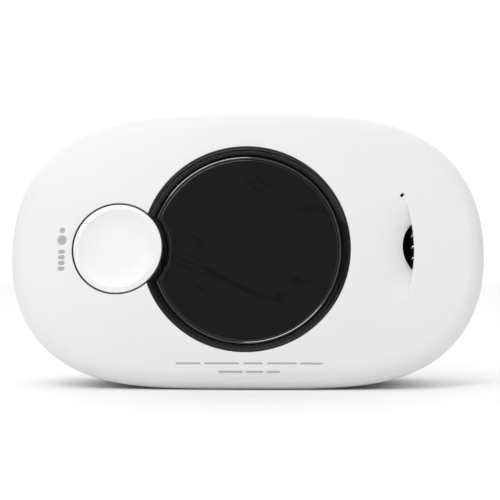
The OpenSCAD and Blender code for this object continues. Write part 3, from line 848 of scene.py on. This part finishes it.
def add_port_shade_liner(screen, foot):
    """Thin black wall inside the port's straight side, along the scoop's edge: painted shade that hides the white
    edge wall.
    """
    steps, top_drop = 40, 0.55
    tilt, at_scoop, _ = port_angles()
    ends = (tilt - at_scoop + 0.004, tilt + at_scoop - 0.004)
    near = arc(SCOOP, SCOOP_R - 0.14, *ends, steps)
    far = arc(SCOOP, SCOOP_R - 0.03, *ends, steps)
    outline = near + far[::-1]
    screen.rings([[(u, v, crown(u, v) - top_drop) for u, v in outline], [(u, v, foot) for u, v in outline]])
    for k in range(steps):
        quad = [near[k], near[k + 1], far[k + 1], far[k]]
        screen.face([(u, v, crown(u, v) - top_drop) for u, v in quad])
        screen.face([(u, v, foot) for u, v in quad])


# ---------------------------------------------------------------- generic printed marks

INK_T = 0.03


def ink_bars(name, bars, surface, to_frame):
    """Thin round-ended bars of ink. Each is (centre a, centre b, length, height) on surface(a, b)."""
    marks = Builder()
    for ca, cb, length, height in bars:
        radius = min(length, height) / 2
        ends = [radius * (1 - math.cos(math.radians(t))) for t in (12, 30, 50, 70, 90)]
        middle = [radius + (length - 2 * radius) * k / 8 for k in range(1, 8)] if length > height else []
        stations = ends + middle + [length - e for e in ends[::-1]]
        rings = []
        for a in stations:
            reach = min(a, length - a, radius)
            half = height / 2 - radius + math.sqrt(max(radius ** 2 - (radius - reach) ** 2, 1e-6))
            x = ca - length / 2 + a
            rings.append([(x, cb + side * half, surface(x, cb + side * half) + lift * INK_T)
                          for side, lift in ((-1, -1), (1, -1), (1, 1), (-1, 1))])
        marks.capped(rings)
    return marks.make(name, to_frame)


# ---------------------------------------------------------------- materials

def new_material(name):
    material = bpy.data.materials.new(name)
    material.use_nodes = True
    nodes, links = material.node_tree.nodes, material.node_tree.links
    return material, nodes, links, nodes["Principled BSDF"]


def noise(nodes, links, scale, detail=3.0, stretch=None):
    coords = nodes.new("ShaderNodeTexCoord")
    texture = nodes.new("ShaderNodeTexNoise")
    texture.inputs["Scale"].default_value = scale
    texture.inputs["Detail"].default_value = detail
    if stretch:
        mapping = nodes.new("ShaderNodeMapping")
        mapping.vector_type = "TEXTURE"
        mapping.inputs["Rotation"].default_value = stretch[0]
        mapping.inputs["Scale"].default_value = stretch[1]
        links.new(coords.outputs["Object"], mapping.inputs["Vector"])
        links.new(mapping.outputs["Vector"], texture.inputs["Vector"])
    else:
        links.new(coords.outputs["Object"], texture.inputs["Vector"])
    return texture.outputs["Fac"]


def spread(nodes, links, value, low, high, start=0.3, end=0.7):
    """Maps a noise value to a range."""
    ramp = nodes.new("ShaderNodeMapRange")
    ramp.inputs["From Min"].default_value, ramp.inputs["From Max"].default_value = start, end
    ramp.inputs["To Min"].default_value, ramp.inputs["To Max"].default_value = low, high
    links.new(value, ramp.inputs["Value"])
    return ramp.outputs["Result"]


def tint(nodes, links, value, dark, light):
    mix = nodes.new("ShaderNodeMix")
    mix.data_type = "RGBA"
    mix.inputs["A"].default_value = (*dark, 1)
    mix.inputs["B"].default_value = (*light, 1)
    links.new(value, mix.inputs["Factor"])
    return mix.outputs["Result"]


def moulded(name, colour, rough, grain_mm=0.35, depth_mm=0.004, shade=0.03, metal=0.0, coat=0.0,
            stretch=None, transmission=0.0, specular=0.5):
    """Moulded or plated surface: fine grain in the bump, slow drift in colour and roughness."""
    material, nodes, links, shader = new_material(name)
    drift = noise(nodes, links, 45.0, 2.0, stretch)
    dark = tuple(c * (1 - shade) for c in colour)
    links.new(tint(nodes, links, spread(nodes, links, drift, 0, 1), dark, colour),
              shader.inputs["Base Color"])
    speckle = noise(nodes, links, 1 / (4 * grain_mm * MM), 2.0, stretch)
    links.new(spread(nodes, links, speckle, rough * 0.88, rough * 1.12), shader.inputs["Roughness"])
    grain = noise(nodes, links, 1 / (grain_mm * MM), 2.0, stretch)
    bump = nodes.new("ShaderNodeBump")
    bump.inputs["Strength"].default_value = 1.0
    bump.inputs["Distance"].default_value = depth_mm * MM
    links.new(grain, bump.inputs["Height"])
    links.new(bump.outputs["Normal"], shader.inputs["Normal"])
    shader.inputs["Metallic"].default_value = metal
    shader.inputs["Coat Weight"].default_value = coat
    shader.inputs["Specular IOR Level"].default_value = specular
    shader.inputs["Transmission Weight"].default_value = transmission
    return material


def arithmetic(nodes, operation, second):
    node = nodes.new("ShaderNodeMath")
    node.operation = operation
    node.inputs[1].default_value = second
    return node


def glass_black():
    """Smoked window: near black, glossy, with very faint dark diagonal streaks in its colour, which are painted
    reflections and partly also smudges.
    """
    material, nodes, links, shader = new_material("smoked_window")
    # Painted reflection: faint dark diagonal streaks in the base colour, partly also smudges.
    drift = noise(nodes, links, 70.0, 1.5, ((0, math.radians(27), 0), (6.0, 1.0, 0.35)))
    offset = arithmetic(nodes, "SUBTRACT", 0.5)
    links.new(drift, offset.inputs[0])
    near = arithmetic(nodes, "ABSOLUTE", 0.0)
    links.new(offset.outputs["Value"], near.inputs[0])
    links.new(tint(nodes, links, spread(nodes, links, near.outputs["Value"], 0, 1, 0.0, 0.009),
                   (0.004, 0.004, 0.0041), (0.009, 0.009, 0.0093)), shader.inputs["Base Color"])
    wipe = noise(nodes, links, 220.0, 3.0)
    links.new(spread(nodes, links, wipe, 0.045, 0.075), shader.inputs["Roughness"])
    return material


def cell_jacket():
    """Plain shrink sleeve with a pale band at one end of each cell."""
    material, nodes, links, shader = new_material("cell_sleeve")
    coords = nodes.new("ShaderNodeTexCoord")
    split = nodes.new("ShaderNodeSeparateXYZ")
    links.new(coords.outputs["Object"], split.inputs["Vector"])
    edge = arithmetic(nodes, "GREATER_THAN", 0.012)
    links.new(split.outputs["X"], edge.inputs[0])
    links.new(tint(nodes, links, edge.outputs["Value"], (0.05, 0.13, 0.17), (0.62, 0.63, 0.64)),
              shader.inputs["Base Color"])
    scuff = noise(nodes, links, 300.0, 4.0)
    links.new(spread(nodes, links, scuff, 0.22, 0.38), shader.inputs["Roughness"])
    return material


GREY = (0.2, 0.2, 0.21)
MATERIALS = {
    "shell_white": moulded("shell_white", (0.8, 0.8, 0.8), 0.42, 0.3, 0.0016, 0.012),
    "shell_rear": moulded("shell_rear", (0.68, 0.68, 0.68), 0.5, 0.3, 0.004, 0.02),
    "button_white": moulded("button_white", (0.84, 0.84, 0.84), 0.34, 0.5, 0.0006, 0.01),
    "label_paper": moulded("label_paper", (0.6, 0.61, 0.62), 0.45, 0.2, 0.001, 0.05),
    "bezel_black": moulded("bezel_black", (0.006, 0.006, 0.0063), 0.07, 0.9, 0.0003, 0.1, coat=0.35),
    "window_black": glass_black(),
    "board_green": moulded("board_green", (0.02, 0.16, 0.07), 0.35, 0.6, 0.01, 0.25),
    "display_glass": moulded("display_glass", (0.3, 0.36, 0.32), 0.08, 1.0, 0.0002, 0.1),
    "frame_grey": moulded("frame_grey", GREY, 0.5, 0.3, 0.006, 0.1),
    "rubber_grey": moulded("rubber_grey", (0.12, 0.12, 0.12), 0.8, 0.2, 0.01, 0.2),
    "led_green": moulded("led_green", (0.08, 0.6, 0.14), 0.12, 1.0, 0.0002, 0.1, transmission=0.5),
    "led_amber": moulded("led_amber", (0.85, 0.5, 0.05), 0.12, 1.0, 0.0002, 0.1, transmission=0.5),
    "led_red": moulded("led_red", (0.75, 0.05, 0.03), 0.12, 1.0, 0.0002, 0.1, transmission=0.5),
    "guide_clear": moulded("guide_clear", (0.85, 0.87, 0.88), 0.15, 1.0, 0.0004, 0.04, transmission=0.7),
    "part_black": moulded("part_black", (0.02, 0.02, 0.022), 0.5, 0.25, 0.008, 0.2),
    "plunger_ivory": moulded("plunger_ivory", (0.76, 0.7, 0.55), 0.45, 0.4, 0.004, 0.08),
    "brass": moulded("brass", (0.8, 0.6, 0.27), 0.28, 0.4, 0.002, 0.12, metal=1.0),
    "mesh_black": moulded("mesh_black", (0.003, 0.003, 0.003), 0.7, 0.1, 0.004, 0.3, specular=0.12),
    "copper": moulded("copper", (0.72, 0.32, 0.13), 0.3, 0.15, 0.01, 0.2, metal=1.0),
    "steel": moulded("steel", (0.68, 0.69, 0.7), 0.3, 0.3, 0.003, 0.1, metal=1.0),
    "filter_grey": moulded("filter_grey", (0.3, 0.3, 0.3), 0.9, 0.12, 0.02, 0.3),
    "sleeve_dark": moulded("sleeve_dark", (0.02, 0.03, 0.07), 0.25, 0.8, 0.002, 0.1),
    "ceramic_tan": moulded("ceramic_tan", (0.5, 0.38, 0.24), 0.5, 0.15, 0.006, 0.2),
    "cell_jacket": cell_jacket(),
    "spring_steel": moulded("spring_steel", (0.66, 0.66, 0.67), 0.25, 0.3, 0.002, 0.1, metal=1.0),
    "screw_steel": moulded("screw_steel", (0.55, 0.56, 0.58), 0.32, 0.25, 0.004, 0.15, metal=1.0),
}
INK = moulded("ink_grey", (0.42, 0.42, 0.43), 0.5, 0.15, 0.001, 0.1)

for part in frame["record"]["subparts"]:
    node = frame["nodes"][part["node"]]
    if not node.material_slots:
        node.data.materials.append(None)
    for material_slot in node.material_slots:
        material_slot.material = MATERIALS[part["material_slot"]]


# ---------------------------------------------------------------- placing the pieces

def place(piece, body, slot, *replaced, material=None):
    piece.data.materials.clear()
    piece.data.materials.append(material or MATERIALS[slot])
    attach(piece, body)
    if replaced:
        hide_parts(*replaced)


place(build_front_cover(), "housing", "shell_white", "front_cover")
place(build_bezel(), "housing", "bezel_black", "window_bezel")
place(build_glass(), "housing", "window_black", "display_window")
place(build_button(), "button", "button_white", "test_button")
place(build_rear_shell(), "housing", "shell_rear", "rear_housing")
place(build_door(), "door", "shell_rear", "battery_door")
place(build_springs(), "housing", "spring_steel", "battery_springs")
place(build_port_mesh(), "housing", "mesh_black", "insect_mesh")

# Marks under the window and beside the button: plain bars, no lettering
UNDER_BARS = [(-13.7, -28.95, 6.0, 0.4), (-5.6, -28.95, 8.4, 0.4), (1.9, -28.95, 4.6, 0.4),
              (8.9, -28.95, 7.2, 0.4), (15.9, -28.95, 5.4, 0.4), (-3.5, -30.95, 5.8, 0.4),
              (2.3, -30.95, 4.2, 0.4), (6.8, -30.95, 3.2, 0.4)]
SIDE_BARS = [(-45.4, -5.6, 1.7, 1.0), (-45.4, -4.2, 1.7, 1.0), (-45.4, -2.8, 1.7, 1.0),
             (-45.4, -1.4, 1.7, 1.0), (-45.4, 1.5, 2.4, 2.4), (-45.4, 4.0, 1.4, 1.4)]
place(ink_bars("marks_under", UNDER_BARS, crown, face_point), "housing", "label_paper", material=INK)
place(ink_bars("marks_side", SIDE_BARS, crown, face_point), "housing", "label_paper", material=INK)


# ---------------------------------------------------------------- floor, light and camera

def raised(degrees):
    """Direction that many degrees up from the face's normal."""
    return NORMAL * math.cos(math.radians(degrees)) + UP * math.sin(math.radians(degrees))


MIRRORED = raised(11.0)
FRONT_HIGH = raised(27.0)
ABOVE_BEHIND = Vector((0.0, 0.574, 0.819))
BEHIND = Vector((0.0, 1.0, 0.0))
LEFT = Vector((-0.8, -0.2, 0.55)).normalized()
RIGHT_SIDE = Vector((0.9, -0.1, 0.2)).normalized()

# Bright zones of the surroundings: direction, angle of the rim and of the full strength, strength
ZONES = ((ABOVE_BEHIND, 75, 35, 1.16), (BEHIND, 60, 25, 0.42), (LEFT, 60, 25, 0.34),
         (RIGHT_SIDE, 55, 25, 0.22), (FRONT_HIGH, 52, 22, 1.12))
WINDOW_DIM = (MIRRORED, 17, 11, 1.0, 0.13)
KEY_AZIMUTH, KEY_TILT, KEY_FAR = math.radians(118.0), math.radians(40.0), 0.7
KEY_LENGTH, KEY_WIDTH, KEY_POWER = 0.45, 0.07, 1.1


def build_floor():
    mesh = bpy.data.meshes.new("floor")
    half = 4.0
    mesh.from_pydata([(-half, -half, 0), (half, -half, 0), (half, half, 0), (-half, half, 0)], [],
                     [(0, 1, 2, 3)])
    floor = bpy.data.objects.new("floor", mesh)
    bpy.context.scene.collection.objects.link(floor)
    material, nodes, links, shader = new_material("floor_white")
    cloud = noise(nodes, links, 3.0, 2.0)
    links.new(tint(nodes, links, cloud, (0.88, 0.88, 0.88), (0.9, 0.9, 0.9)), shader.inputs["Base Color"])
    shader.inputs["Roughness"].default_value = 0.9
    shader.inputs["Specular IOR Level"].default_value = 0.1
    floor.data.materials.append(material)


def build_key_light():
    """Strip light to the upper left of the face, which draws the bright lines along the window's edge."""
    data = bpy.data.lights.new("key_strip", "AREA")
    data.shape, data.size, data.size_y, data.energy = "RECTANGLE", KEY_LENGTH, KEY_WIDTH, KEY_POWER
    light = bpy.data.objects.new("key_strip", data)
    sideways = RIGHT * math.cos(KEY_AZIMUTH) + UP * math.sin(KEY_AZIMUTH)
    back = sideways * math.sin(KEY_TILT) + NORMAL * math.cos(KEY_TILT)
    along = NORMAL.cross(sideways)
    turn = Matrix((along, back.cross(along), back)).transposed().to_4x4()
    light.matrix_world = Matrix.Translation(Vector(face_point(0, 0, CROWN_W)) + back * KEY_FAR) @ turn
    bpy.context.scene.collection.objects.link(light)


def zone_strength(nodes, links, direction, rim, full, at_rim, at_middle):
    """Strength that changes smoothly from the rim of a cone of directions to its middle."""
    coords = nodes.new("ShaderNodeTexCoord")
    dot = nodes.new("ShaderNodeVectorMath")
    dot.operation = "DOT_PRODUCT"
    dot.inputs[1].default_value = direction
    links.new(coords.outputs["Generated"], dot.inputs[0])
    cone = nodes.new("ShaderNodeMapRange")
    cone.interpolation_type = "SMOOTHSTEP"
    cone.inputs["From Min"].default_value = math.cos(math.radians(rim))
    cone.inputs["From Max"].default_value = math.cos(math.radians(full))
    cone.inputs["To Min"].default_value = at_rim
    cone.inputs["To Max"].default_value = at_middle
    links.new(dot.outputs["Value"], cone.inputs["Value"])
    return cone.outputs["Result"]


def combine(nodes, links, operation, first, second):
    node = nodes.new("ShaderNodeMath")
    node.operation = operation
    links.new(first, node.inputs[0])
    links.new(second, node.inputs[1])
    return node.outputs["Value"]


def build_world():
    """Soft studio, bright in each zone; the last zone is dim where the window mirrors it."""
    world = bpy.data.worlds.new("studio")
    bpy.context.scene.world = world
    world.use_nodes = True
    nodes, links = world.node_tree.nodes, world.node_tree.links
    zones = [zone_strength(nodes, links, direction, rim, full, 0.0, strength)
             for direction, rim, full, strength in ZONES]
    dim = zone_strength(nodes, links, *WINDOW_DIM)
    total = combine(nodes, links, "MULTIPLY", zones[-1], dim)
    for zone in zones[:-1]:
        total = combine(nodes, links, "ADD", total, zone)
    links.new(total, nodes["Background"].inputs["Strength"])
    nodes["Background"].inputs["Color"].default_value = (1.0, 1.0, 1.0, 1)


def build_camera():
    """Camera a little below the face's normal and to its right."""
    yaw, pitch, distance = math.radians(-1.74), math.radians(11.18), 0.3
    look = (RIGHT * math.sin(yaw) * math.cos(pitch) + UP * math.sin(pitch)
            - NORMAL * math.cos(yaw) * math.cos(pitch))
    target = Vector(face_point(0.84, 0.07, 8.4))
    data = bpy.data.cameras.new("camera")
    data.sensor_width, data.lens = 36.0, 86.5
    data.clip_start = 0.01
    camera = bpy.data.objects.new("camera", data)
    bpy.context.scene.collection.objects.link(camera)
    right = look.cross(Vector((0, 0, 1))).normalized()
    up = right.cross(look)
    turn = Matrix((right, up, -look)).transposed().to_4x4()
    camera.matrix_world = Matrix.Translation(target - look * distance) @ turn
    bpy.context.scene.camera = camera


build_floor()
build_world()
build_key_light()
build_camera()
bpy.context.scene.view_settings.view_transform = "Standard"
